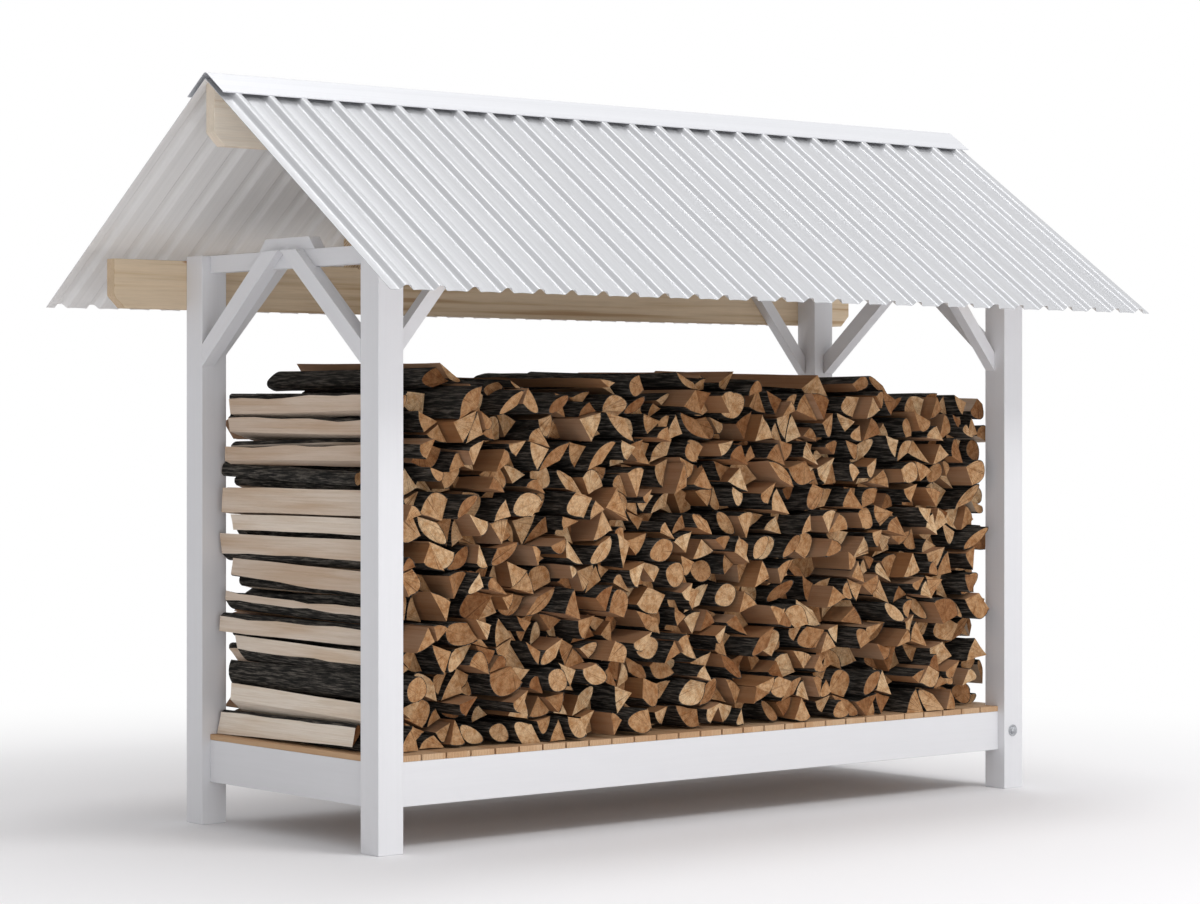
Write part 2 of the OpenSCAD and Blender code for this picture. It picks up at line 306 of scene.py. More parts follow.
def planed_timber(name, direction, light, mid, dark, board_step=None):
    """Bare planed softwood, with bands of dark late wood and a few knots."""
    finish, tree, shader = new_finish(name)
    grain = along_grain(tree, direction, 0.45, 0.011)
    fibre = mottle(tree, along_grain(tree, direction, 0.08, 0.0016), 1.0, detail=3.0)
    sway = mottle(tree, grain, 0.35, detail=2.0)
    bands = add(tree, "TexWave", {
        "Vector": grain, "Scale": 0.55, "Distortion": 5.5, "Detail": 3.0, "Detail Scale": 0.8,
    }, wave_type="BANDS", bands_direction="Y").outputs["Fac"]
    colour = ramp(tree, bands, (0.0, light), (0.55, mid), (1.0, dark))
    colour = tint(tree, colour, ramp(tree, sway, (0.35, grey(0.93)), (0.65, grey(1.0))))
    colour = tint(tree, colour, ramp(tree, fibre, (0.3, grey(0.90)), (0.6, grey(1.0))))
    knots = add(tree, "TexVoronoi", {
        "Vector": along_grain(tree, direction, 0.42, 0.16), "Scale": 1.0, "Randomness": 1.0,
    }, feature="F1").outputs["Distance"]
    knot = ramp(tree, knots, (0.0, KNOT_HEART), (0.045, KNOT_EDGE), (0.075, grey(1.0)))
    colour = tint(tree, colour, knot)
    if board_step:
        place = add(tree, "TexCoord", {}).outputs["Object"]
        across = add(tree, "SeparateXYZ", {"Vector": place}).outputs["X"]
        number = add(tree, "Math", {0: across, 1: board_step}, operation="DIVIDE").outputs["Value"]
        board = add(tree, "Math", {0: number}, operation="FLOOR").outputs["Value"]
        chance = add(tree, "TexWhiteNoise", {"W": board}, noise_dimensions="1D").outputs["Value"]
        colour = tint(tree, colour, ramp(tree, chance, (0.0, BOARD_TINGE), (1.0, grey(1.0))))
    set_inputs(tree, shader, {
        "Base Color": colour,
        "Roughness": ramp(tree, fibre, (0.3, grey(0.58)), (0.7, grey(0.74))),
        "Specular IOR Level": 0.3,
        "Normal": bump(tree, fibre, 0.0006, 0.6),
    })
    return finish


board_timber = planed_timber(
    "bare floor boards", (0, 1, 0), BOARD_LIGHT, BOARD_MID, BOARD_DARK, board_step=BOARD_STEP)
dress(["floor_bearer"], lengthwise_paint)
dress(["floor_boards"], board_timber, BOARD_ARRIS)

# ---------------------------------------------------------------------------
# End ties
# A painted tie between the two posts of each end, flush with their tops, and
# on it a block with sloping ends that is glued and screwed from above.
# ---------------------------------------------------------------------------

dress([f"tie_beam_{side}" for side in SIDES], crosswise_paint)
dress([f"tie_block_{side}" for side in SIDES], crosswise_paint)

# ---------------------------------------------------------------------------
# Knee braces
# Two painted braces in each end, halved over the tie, and one from each post
# up to the plate along the store. Each is cut to its angle and screwed on.
# ---------------------------------------------------------------------------


def rising(name, toward_x, toward_y):
    """The way that a brace rises, from the box it stands in."""
    low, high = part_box(name)
    return Vector((toward_x * (high.x - low.x), toward_y * (high.y - low.y), high.z - low.z)).normalized()


for end, inward in (("front", 1), ("back", -1)):
    end_slope = rising(f"end_brace_{end}_left", 0, inward)
    brace_paint = white_paint(f"white paint on {end} end braces", end_slope)
    dress([f"end_brace_{end}_{side}" for side in SIDES], brace_paint)
for side, inward in (("left", 1), ("right", -1)):
    long_slope = rising(f"long_brace_front_{side}", inward, 0)
    brace_paint = white_paint(f"white paint on {side} long braces", long_slope)
    dress([f"long_brace_{end}_{side}" for end in ENDS], brace_paint)

# ---------------------------------------------------------------------------
# Roof timber
# Plates, ridge beam and rafters of bare planed softwood. The plates lie along
# the posts, and the rafters are notched over them and nailed to the ridge beam.
# ---------------------------------------------------------------------------

PITCH = math.radians(35)
BEAM_ARRIS = 0.003
BEAM_LIGHT = srgb(222, 201, 173)
BEAM_MID = srgb(210, 186, 154)
BEAM_DARK = srgb(180, 148, 113)
# Paler copies of the beam colours for the ridge beam: painted light for the shade it lies in under the roof
PAINTED_LIT_RIDGE_LIGHT = srgb(241, 230, 214)
PAINTED_LIT_RIDGE_MID = srgb(236, 222, 203)
PAINTED_LIT_RIDGE_DARK = srgb(224, 205, 182)

beam_timber = planed_timber("bare beams", (1, 0, 0), BEAM_LIGHT, BEAM_MID, BEAM_DARK)
dress(["plate_front", "plate_back"], beam_timber, BEAM_ARRIS)
# The ridge beam takes the paler colours, as painted light in its shade under the roof and the cap
painted_lit_ridge_timber = planed_timber("ridge beam with painted light", (1, 0, 0), PAINTED_LIT_RIDGE_LIGHT, PAINTED_LIT_RIDGE_MID, PAINTED_LIT_RIDGE_DARK)
dress(["ridge_beam"], painted_lit_ridge_timber, BEAM_ARRIS)
for end, outward in (("front", -1), ("back", 1)):
    fall = (0, outward * math.cos(PITCH), -math.sin(PITCH))
    rafter_timber = planed_timber(f"bare {end} rafters", fall, BEAM_LIGHT, BEAM_MID, BEAM_DARK)
    dress([f"rafters_{end}"], rafter_timber, BEAM_ARRIS)

# ---------------------------------------------------------------------------
# Roof sheets
# Cold-rolled steel sheets with low ribs that run from ridge to eave, lying on the
# rafters. They are coated pale grey, glossy on top and dull white underneath.
# ---------------------------------------------------------------------------

SHEET_THICK = 0.0015
RIB_HEIGHT = 0.018
RIB_FOOT = 0.029  # half the width of a rib at its foot
RIB_CROWN = 0.007  # half the width of its flat top
RIB_BEND = 0.009  # width of the soft bend at the top and the foot of a flank
RIB_EDGE = 0.060  # verge to the middle of the first rib
RIB_PITCH = 0.130
PAN_BOW = 0.002
SHEET_WAVE = 0.0004

# Where the mesh is divided, as shares of half a rib and of the pan between ribs
FLANK_SHARES = [-1.0, -0.92, -0.84, -0.76, -0.69, -0.62, -0.55, -0.47, -0.39, -0.31, -0.24]
PAN_SHARES = [0.15, 0.3, 0.5, 0.7, 0.85]
SHEET_SEGMENTS = 14
SHARP_BEND = 38

COATING_SHADE = srgb(190, 191, 194)
COATING_CLEAN = srgb(198, 199, 202)
BACK_SHADE = srgb(228, 227, 226)
BACK_CLEAN = srgb(236, 235, 234)


def coated_steel(name, rolled, shade, clean, gloss=0.35):
    """Factory coating, finely speckled, with faint lines from the rollers."""
    finish, tree, shader = new_finish(name)
    place = add(tree, "TexCoord", {}).outputs["Object"]
    speckle = mottle(tree, place, 420.0, detail=2.0)
    lines = mottle(tree, along_grain(tree, rolled, 3.0, 0.011), 1.0, detail=3.0)
    colour = ramp(tree, lines, (0.3, shade), (0.7, clean))
    colour = tint(tree, colour, ramp(tree, speckle, (0.3, grey(0.97)), (0.6, grey(1.0))))
    set_inputs(tree, shader, {
        "Base Color": colour,
        "Metallic": gloss,
        "Roughness": ramp(tree, lines, (0.3, grey(0.72 - gloss)), (0.7, grey(0.76 - gloss))),
        "Normal": bump(tree, lines, 0.00006, 0.2),
    })
    return finish


def rib_rise(away):
    """Height of the sheet at a distance from the middle of a rib."""
    from_crown = abs(away) - RIB_CROWN
    to_foot = RIB_FOOT - abs(away)
    steepness = RIB_HEIGHT / (RIB_FOOT - RIB_CROWN - RIB_BEND)
    if from_crown <= 0.0:
        return RIB_HEIGHT
    if from_crown < RIB_BEND:
        return RIB_HEIGHT - steepness * from_crown * from_crown / (2 * RIB_BEND)
    if to_foot < RIB_BEND:
        return steepness * to_foot * to_foot / (2 * RIB_BEND)
    return steepness * (to_foot - RIB_BEND / 2)


def sheet_profile(left, right):
    """Distance along the roof and height of each bend line of a sheet."""
    count = round((right - left - 2 * RIB_EDGE) / RIB_PITCH) + 1
    step = (right - left - 2 * RIB_EDGE) / (count - 1)
    across = FLANK_SHARES + [0.0] + [-share for share in reversed(FLANK_SHARES)]
    profile = [(left, 0.0)]
    for number in range(count):
        middle = left + RIB_EDGE + number * step
        profile += [(middle + share * RIB_FOOT, rib_rise(share * RIB_FOOT)) for share in across]
        if number < count - 1:
            pan = step - 2 * RIB_FOOT
            for share in PAN_SHARES:
                bow = PAN_BOW * 4 * share * (1 - share)
                profile.append((middle + RIB_FOOT + pan * share, bow))
    profile.append((right, 0.0))
    return profile


def thin_shell(lines, lift):
    """Closes rows of points into a sheet; lift turns a point and a side into its place."""
    points = []
    faces = []
    rows = len(lines)
    width = len(lines[0])
    for upper in (False, True):
        points += [lift(spot, upper) for line in lines for spot in line]
    half = rows * width
    for row in range(rows - 1):
        for spot in range(width - 1):
            a = row * width + spot
            b = a + width
            faces.append((a, a + 1, b + 1, b))
            faces.append((half + a, half + b, half + b + 1, half + a + 1))
    for row in range(rows - 1):
        for spot, turned in ((0, False), (width - 1, True)):
            a = row * width + spot
            edge = (a, a + width, half + a + width, half + a)
            faces.append(edge[::-1] if turned else edge)
    for spot in range(width - 1):
        for row, turned in ((0, True), (rows - 1, False)):
            a = row * width + spot
            edge = (a, a + 1, half + a + 1, half + a)
            faces.append(edge[::-1] if turned else edge)
    return points, faces


def roof_place(outward, x, fall, height):
    """A place on a slope, from its distance down the slope and height above it."""
    y = outward * (fall * math.cos(PITCH) + height * math.sin(PITCH))
    return (x, y, apex_z - fall * math.sin(PITCH) + height * math.cos(PITCH))


for end, outward in (("front", -1), ("back", 1)):
    node = f"roof_sheet_{end}"
    fall_line = (0, outward * math.cos(PITCH), -math.sin(PITCH))
    coating = coated_steel(f"coated {end} sheets", fall_line, COATING_SHADE, COATING_CLEAN)
    back_coat = coated_steel(f"back coat of {end} sheets", fall_line, BACK_SHADE, BACK_CLEAN, gloss=0.0)
    sheet_low, sheet_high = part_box(node)
    apex_z = sheet_high.z - (RIB_HEIGHT + SHEET_THICK) * math.cos(PITCH)
    slope_length = (apex_z - sheet_low.z) / math.sin(PITCH)
    bends = sheet_profile(sheet_low.x, sheet_high.x)
    lines = []
    for row in range(SHEET_SEGMENTS + 1):
        fall = slope_length * row / SHEET_SEGMENTS
        lines.append([(x, fall, rise) for x, rise in bends])

    def sheet_point(spot, upper):
        x, fall, rise = spot
        wave = SHEET_WAVE * (noise.noise(Vector((x * 0.9, fall * 0.6 * outward, 5.0))) - 0.3)
        return roof_place(outward, x, fall, rise + wave + (SHEET_THICK if upper else 0.0))

    points, faces = thin_shell(lines, sheet_point)
    if outward > 0:
        faces = [face[::-1] for face in faces]
    sheet = new_piece(f"ribbed_sheets_{end}", points, faces, [coating, back_coat], SHARP_BEND)
    for panel in sheet.data.polygons:
        panel.material_index = 1 if max(panel.vertices) < len(points) // 2 else 0
    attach(sheet, "root")
    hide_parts(node)

# ---------------------------------------------------------------------------
# Ridge cap
# A strip of the same coated steel, folded over the ridge with a soft bend and
# hemmed along both edges. It is screwed down through the tops of the ribs.
# ---------------------------------------------------------------------------

CAP_THICK = 0.0016
CAP_BEND = 0.012  # half the width of the soft bend along the ridge
CAP_CLEAR = 0.0012
HEM_DROP = 0.0014
HEM_TUCK = 0.012  # share of a wing by which its hem is tucked in underneath
CAP_WAVE = 0.0005
CAP_WAVES = 2.7

# Where the mesh is divided, as shares of a wing and of half the bend
WING_SHARES = [1.0, 0.985, 0.93, 0.6, 0.3]
BEND_SHARES = [1.0, 0.7, 0.35, 0.0, -0.35, -0.7, -1.0]
CAP_SEGMENTS = 60
SHARP_FOLD = 30
CAP_SHADE = srgb(217, 218, 222)
CAP_CLEAN = srgb(223, 224, 228)

cap_low, cap_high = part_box("ridge_cap")
cap_top = cap_high.z - CAP_THICK / math.cos(PITCH)
cap_reach = cap_high.y - CAP_CLEAR
cap_line = []
for share in WING_SHARES:
    cap_line.append((-cap_reach * share, -cap_reach * share * math.tan(PITCH)))
for share in BEND_SHARES:
    ease = CAP_BEND * math.tan(PITCH) * (1 + share * share) / 2
    cap_line.append((-CAP_BEND * share, -ease))
cap_line += [(-y, z) for y, z in reversed(cap_line[:len(WING_SHARES)])]
cap_rows = []
for row in range(CAP_SEGMENTS + 1):
    x = cap_low.x + (cap_high.x - cap_low.x) * row / CAP_SEGMENTS
    wave = CAP_WAVE * noise.noise(Vector((x * CAP_WAVES, 0.0, 9.0)))
    cap_rows.append([(x, y, cap_top + z + wave * (abs(y) / cap_reach)) for y, z in cap_line])


def cap_point(spot, upper):
    x, y, z = spot
    out = abs(y) / cap_reach
    if upper:
        return (x, y, z + CAP_THICK / math.cos(PITCH))
    if out > 0.99:
        y *= 1 - HEM_TUCK
    return (x, y, z - (HEM_DROP if out > 0.97 else 0.0))


cap_points, cap_faces = thin_shell(cap_rows, cap_point)
cap_coating = coated_steel("coated cap steel", (1, 0, 0), CAP_SHADE, CAP_CLEAN)
cap = new_piece("folded_ridge_cap", cap_points, cap_faces, [cap_coating], SHARP_FOLD)
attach(cap, "root")
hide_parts("ridge_cap")

# ---------------------------------------------------------------------------
# Firewood
# About a metre long each, sawn to length and split with an axe. Each log keeps
# its dark furrowed bark on one side or more, and they are stacked dry by hand.
# ---------------------------------------------------------------------------

ROW_COUNT = 14
AT_END = 0.03  # a log this near to the end of its row is an end log

# How far the surfaces of a log go in, and the width of its bark at a sawn end
BARK_FURROW = 0.0036
BARK_RIM = 0.0045
SPLIT_WAVE = 0.0024
SAW_WAVE = 0.0013
SAW_RANGE = (-0.6, 1.0)

# How far a log leans over its length, bends, and strays where its bark ends
LEAN_INSIDE = 0.008
LEAN_OUTSIDE = 0.024
LEAN_TOP = 0.045
LOG_CROOK = 0.0025
BARK_EDGE = 0.010
PITH_STRAY = 0.008
SAW_TILT = 0.12  # slope of a sawn end, mostly less than this

# Shares: of its cell that a log fills, of its butt that it loses towards the
# top, of a side that is cut back beside bark, and how full a bark side is
LOG_FIT = (0.87, 0.985)
LOG_TAPER = (0.01, 0.13)
WIDE_SETBACK = (0.20, 0.42)
NARROW_SETBACK = (0.05, 0.17)
BARK_CURVE = 0.45

# Chances that decide which sides of a log keep their bark
WHOLE_LOGS = 0.24
ONCE_SPLIT_LOGS = 0.50
TWO_SIDES_OF_FOUR = 0.52
TWO_SIDES_OF_THREE = 0.85
LEVEL_AT_LEFT = 0.52
BARK_UP = 0.7
FACING_OUT = 0.8

# Shares of painted light on the split faces: high at the stack's ends, low inside it (painted shade);
# and the mean and spread of the sawn ends' tone
PAINTED_LIGHT_OUTSIDE = (0.52, 1.0)
PAINTED_SHADE_INSIDE = (0.0, 0.15)
TONE_SPREAD = (0.5, 0.32)

# The fineness of the mesh
LOG_RINGS = 11
SPLIT_STEPS = 5
SHARP_ARRIS = 42

BARK, SPLIT, SAWN = 0, 1, 2
BARK_DEEP = srgb(26, 25, 23)
BARK_DARK = srgb(57, 54, 50)
BARK_RIDGE = srgb(108, 102, 95)
# One split face as a shaded and a lit copy: painted shade for logs inside the stack, painted light for those
# at its ends
SPLIT_PAINTED_SHADE = srgb(158, 114, 76)
SPLIT_PAINTED_LIGHT = srgb(243, 232, 218)
STREAK_TINGE = srgb(243, 239, 233)
HEART_TINGE = srgb(239, 229, 218)
SAWN_DARK = srgb(152, 106, 68)
SAWN_MID = srgb(196, 153, 110)
SAWN_LIGHT = srgb(221, 188, 148)
STAIN_TINGE = srgb(216, 196, 174)
CRACK_BROWN = srgb(112, 80, 56)
RING_GAP = 0.0052
RING_SWAY = 9.0


def of_log(tree, name, output="Fac"):
    """What the mesh of the firewood says about the log at this point."""
    return add(tree, "Attribute", {}, attribute_name=name).outputs[output]


def own_place(tree, length, width):
    """The place on a log measured in grain marks, moved on for each log."""
    shift = add(tree, "CombineXYZ", {"X": of_log(tree, "shift"), "Y": 0.0, "Z": of_log(tree, "shift")})
    place = along_grain(tree, (0, 1, 0), length, width)
    return add(tree, "VectorMath", {0: place, 1: shift.outputs["Vector"]}, operation="ADD").outputs["Vector"]


def furrowed_bark():
    """Nearly black bark with long broken ridges that have weathered grey."""
    finish, tree, shader = new_finish("furrowed bark")
    ridges = mottle(tree, own_place(tree, 0.060, 0.0034), 1.0, detail=4.0)
    plates = mottle(tree, own_place(tree, 0.085, 0.009), 1.0, detail=3.0)
    dust = mottle(tree, own_place(tree, 0.010, 0.006), 1.0, detail=2.0)
    height = add(tree, "Math", {0: ridges, 1: plates}, operation="MULTIPLY").outputs["Value"]
    colour = ramp(tree, height, (0.19, BARK_DEEP), (0.25, BARK_DARK), (0.35, BARK_RIDGE))
    colour = tint(tree, colour, ramp(tree, dust, (0.3, grey(0.7)), (0.7, grey(1.0))))
    set_inputs(tree, shader, {
        "Base Color": colour,
        "Roughness": 0.9,
        "Specular IOR Level": 0.15,
        "Normal": bump(tree, height, 0.012, 1.0),
    })
    return finish


def split_face():
    """A torn face of fresh wood with its fibres along the log; its colour is painted shade inside the stack
    and painted light at its ends.
    """
    finish, tree, shader = new_finish("split faces")
    streaks = mottle(tree, own_place(tree, 0.45, 0.0055), 1.0, detail=3.0)
    fibre = mottle(tree, own_place(tree, 0.06, 0.0018), 1.0, detail=3.0)
    heart = mottle(tree, own_place(tree, 0.70, 0.060), 1.0, detail=2.0)
    # Painted light and shade: the log's share mixes the shaded and the lit copy of the split face
    colour = ramp(tree, of_log(tree, "painted_light_share"), (0.0, SPLIT_PAINTED_SHADE), (1.0, SPLIT_PAINTED_LIGHT))
    colour = tint(tree, colour, ramp(tree, streaks, (0.32, STREAK_TINGE), (0.60, grey(1.0))))
    colour = tint(tree, colour, ramp(tree, heart, (0.36, HEART_TINGE), (0.58, grey(1.0))))
    colour = tint(tree, colour, ramp(tree, fibre, (0.30, grey(0.94)), (0.58, grey(1.0))))
    height = add(tree, "Math", {0: streaks, 1: fibre}, operation="ADD").outputs["Value"]
    set_inputs(tree, shader, {
        "Base Color": colour,
        "Roughness": 0.78,
        "Specular IOR Level": 0.25,
        "Normal": bump(tree, height, 0.0022, 0.8),
    })
    return finish


def sawn_end():
    """End grain: growth rings round the pith, drying cracks and the saw's marks."""
    finish, tree, shader = new_finish("sawn ends")
    pith = of_log(tree, "pith", "Vector")
    radius = add(tree, "VectorMath", {0: pith}, operation="LENGTH").outputs["Value"]
    wobble = mottle(tree, own_place(tree, 0.05, 0.035), 1.0, detail=2.0)
    turns = add(tree, "Math", {0: radius, 1: math.tau / RING_GAP}, operation="MULTIPLY").outputs["Value"]
    sway = add(tree, "Math", {0: wobble, 1: RING_SWAY}, operation="MULTIPLY").outputs["Value"]
    phase = add(tree, "Math", {0: turns, 1: sway}, operation="ADD").outputs["Value"]
    rings = add(tree, "Math", {0: phase}, operation="SINE").outputs["Value"]
    spoke = add(tree, "VectorMath", {0: pith}, operation="NORMALIZE").outputs["Vector"]
    fan = add(tree, "TexNoise", {
        "Vector": spoke, "W": of_log(tree, "shift"), "Scale": 5.5, "Detail": 2.0,
    }, noise_dimensions="4D").outputs["Fac"]
    stain = mottle(tree, own_place(tree, 0.03, 0.022), 1.0, detail=3.0)
    fuzz = mottle(tree, own_place(tree, 0.010, 0.0065), 1.0, detail=3.0)
    colour = ramp(tree, of_log(tree, "tone"), (0.0, SAWN_DARK), (0.5, SAWN_MID), (1.0, SAWN_LIGHT))
    colour = tint(tree, colour, ramp(tree, rings, (0.0, grey(0.86)), (0.75, grey(1.0))))
    colour = tint(tree, colour, ramp(tree, stain, (0.34, STAIN_TINGE), (0.6, grey(1.0))))
    cracks = ramp(tree, fan, (0.482, grey(1.0)), (0.497, CRACK_BROWN), (0.512, grey(1.0)))
    colour = tint(tree, colour, cracks, 0.75)
    colour = tint(tree, colour, ramp(tree, fuzz, (0.34, grey(0.74)), (0.60, grey(1.0))))
    set_inputs(tree, shader, {
        "Base Color": colour,
        "Roughness": 0.85,
        "Specular IOR Level": 0.2,
        "Normal": bump(tree, fuzz, 0.0030, 0.8),
    })
    return finish


def log_cells(node):
    """The corners in X and Z of each log in a row, in order round it, and its ends."""
    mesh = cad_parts[node].data
    spots = {}
    number_at = []
    for vertex in mesh.vertices:
        spot = tuple(round(value, 4) for value in vertex.co)
        number_at.append(spots.setdefault(spot, len(spots)))
    leader = list(range(len(spots)))

    def lead(number):
        while leader[number] != number:
            number = leader[number]
        return number

    for edge in mesh.edges:
        first, second = (number_at[vertex] for vertex in edge.vertices)
        leader[lead(first)] = lead(second)
    groups = {}
    for spot, number in spots.items():
        groups.setdefault(lead(number), []).append(spot)
    cells = []
    for group in groups.values():
        corners = [Vector(corner) for corner in {(x, z) for x, y, z in group}]
        centre = sum(corners, Vector((0, 0))) / len(corners)
        corners.sort(key=lambda corner: math.atan2(corner.y - centre.y, corner.x - centre.x))
        depths = [y for x, y, z in group]
        cells.append((corners, centre, min(depths), max(depths)))
    cells.sort(key=lambda cell: (round(cell[1].x, 3), cell[1].y))
    return cells


def outward_of(corners, side):
    """The way that a side of a log faces."""
    along = corners[(side + 1) % len(corners)] - corners[side]
    return Vector((along.y, -along.x)).normalized()


def choose_bark(corners, where, dice):
    """Says for each side of a log whether its bark is still on."""
    count = len(corners)
    facing = [outward_of(corners, side) for side in range(count)]
    lengths = [(corners[(side + 1) % count] - corners[side]).length for side in range(count)]
    weights = []
    for side in range(count):
        weight = 1.0 + 2.0 * max(0.0, -facing[side].x) + 0.8 * abs(facing[side].y)
        opposite = lengths[(side + 1) % count] + lengths[(side - 1) % count]
        weights.append(weight * (opposite / sum(lengths)) ** 1.5)
    main = dice.choices(range(count), weights)[0]
    kind = dice.random()
    two_sided = kind > (TWO_SIDES_OF_FOUR if count == 4 else TWO_SIDES_OF_THREE)
    bark = [side == main for side in range(count)]
    if count == 4 and kind < WHOLE_LOGS:
        bark = [True] * count
    elif count == 4 and kind < ONCE_SPLIT_LOGS:
        bare = dice.randrange(count)
        bark = [side != bare for side in range(count)]
    elif two_sided:
        bark[(main + 1) % count] = True
    if where == "left" and dice.random() < LEVEL_AT_LEFT:
        upper = max(range(count), key=lambda side: facing[side].y)
        lower = min(range(count), key=lambda side: facing[side].y)
        bark = [side == (upper if dice.random() < BARK_UP else lower) for side in range(count)]
        bark = [was and facing[side].x > -FACING_OUT for side, was in enumerate(bark)]
    return bark


def curve(start, control, finish, steps):
    """Points from start, up to but without finish, on a curve drawn to control."""
    points = []
    for step in range(steps):
        share = step / steps
        points.append(start.lerp(control, share).lerp(control.lerp(finish, share), share))
    return points


def log_outline(corners, bark, setback):
    """Points round a log, each with the kind of the side that follows it."""
    count = len(corners)
    middles = [(corners[side] + corners[(side + 1) % count]) / 2 for side in range(count)]
    bark_steps = 4 if sum(bark) < 3 else 3
    outline = []
    for side in range(count):
        before, after = (side - 1) % count, (side + 1) % count
        here, there = corners[side], corners[after]
        middle = middles[side]
        if not bark[side]:
            start = here.lerp(there, setback) if bark[before] else here
            end = there.lerp(here, setback) if bark[after] else there
            outline += [(start.lerp(end, step / SPLIT_STEPS), SPLIT) for step in range(SPLIT_STEPS)]
            continue
        if bark[before]:
            start = (middles[before] + 2 * here + middle) / 4
            first = (here + middle) / 2
        else:
            start = here.lerp(corners[before], setback)
            first = here.lerp(middle, BARK_CURVE)
        if bark[after]:
            end = (middle + 2 * there + middles[after]) / 4
            second = (there + middle) / 2
        else:
            end = there.lerp(corners[(side + 2) % count], setback)
            second = there.lerp(middle, BARK_CURVE)
        outline += [(point, BARK) for point in curve(start, first, middle, bark_steps)]
        outline += [(point, BARK) for point in curve(middle, second, end, bark_steps)]
    return outline


class Log:
    """One log: its outline, its two saw cuts, and how it is bent and lies."""

    def __init__(self, cell, bark, dice, painted_light_share, loose):
        corners, self.centre, front, back = cell
        # Share of painted light on its split faces: high for end logs, low (painted shade) inside the stack
        self.painted_light_share = painted_light_share
        # Only end logs have a painted light share over one half; their bark is cut back further
        setback = dice.uniform(*WIDE_SETBACK) if painted_light_share > 0.5 else dice.uniform(*NARROW_SETBACK)
        outline = log_outline(corners, bark, setback)
        fit = dice.uniform(*LOG_FIT)
        self.rims = [(point - self.centre) * fit for point, kind in outline]
        self.kinds = [kind for point, kind in outline]
        self.shift = dice.uniform(0, 400)
        self.thin = dice.uniform(*LOG_TAPER)
        self.butt_in_front = dice.random() < 0.5
        self.crook = Vector((dice.uniform(-1, 1), dice.uniform(-1, 1))) * LOG_CROOK
        self.lean = Vector((dice.uniform(-1, 1), dice.uniform(-1, 1))) * loose
        self.pith = self.pith_place(dice)
        self.ways = self.bark_edges()
        self.cuts = [self.saw_cut(front, 1, dice), self.saw_cut(back, -1, dice)]

    def pith_place(self, dice):
        """Where the middle of the tree was: opposite the bark, or in a round log."""
        outer = [rim for rim, kind in zip(self.rims, self.kinds) if kind == BARK]
        if len(outer) == len(self.rims) or not outer:
            return Vector((dice.uniform(-PITH_STRAY, PITH_STRAY), dice.uniform(-PITH_STRAY, PITH_STRAY)))
        away = sum(outer, Vector((0, 0))) / len(outer)
        if away.length < PITH_STRAY / 2:
            return Vector((0, 0))
        inner = min(self.rims, key=lambda rim: rim.dot(away))
        return inner * 0.95

    def bark_edges(self):
        """The way in which each point may stray along a split side, if bark ends there."""
        ways = []
        for k, rim in enumerate(self.rims):
            before, after = self.rims[k - 1], self.rims[(k + 1) % len(self.rims)]
            if self.kinds[k - 1] == self.kinds[k]:
                ways.append(Vector((0, 0)))
            else:
                toward = after if self.kinds[k] == SPLIT else before
                ways.append((toward - rim).normalized())
        return ways

    def saw_cut(self, y, inward, dice):
        """The plane of a sawn end: where it is, its slope, and what keeps it in the cell."""
        slope = Vector((dice.gauss(0, SAW_TILT), dice.gauss(0, SAW_TILT)))
        reach = min(inward * slope.dot(rim) for rim in self.rims)
        return y, slope, reach * inward

    def cut_y(self, number, spot):
        """Where a line along the log meets one of its saw cuts."""
        y, slope, reach = self.cuts[number]
        return y + slope.dot(spot) - reach

    def bend(self, share):
        """How far the log's middle line has strayed at a share of its length."""
        return self.crook * math.sin(math.pi * share) + self.lean * (share - 0.5)

    def inset(self, kind, spot, y):
        """How far a furrow or a torn wave goes in at a point of the surface."""
        offset = Vector((self.shift, self.shift * 0.7, 0))
        if kind == BARK:
            rough = noise.noise(Vector((spot.x * 85, y * 9, spot.y * 85)) + offset)
            return BARK_FURROW * (0.5 + 0.5 * rough)
        rough = noise.noise(Vector((spot.x * 22, y * 4.2, spot.y * 22)) + offset)
        return SPLIT_WAVE * (0.5 + rough)

    def place(self, k, share, scale=1.0, depth=0.0):
        """A point of the log, by its number round the rim and its share of the length."""
        spot = self.rims[k] * scale
        near, far = self.cut_y(0, spot), self.cut_y(1, spot)
        y = near + (far - near) * share
        spot = spot * (1 - self.thin * (share if self.butt_in_front else 1 - share))
        way = self.ways[k]
        spot += way * BARK_EDGE * noise.noise(Vector((self.shift, y * 5.5, way.x)))
        if scale > 0.95:
            spot = spot * (1 - self.inset(self.kinds[k], spot, y) / max(0.01, spot.length))
        bend = self.bend(share)
        return (self.centre.x + spot.x + bend.x, y + depth, self.centre.y + spot.y + bend.y)

    def hub(self, number, share, depth):
        """The point in the middle of a sawn end."""
        bend = self.bend(share)
        y = self.cut_y(number, Vector((0, 0))) + depth
        return (self.centre.x + bend.x, y, self.centre.y + bend.y)


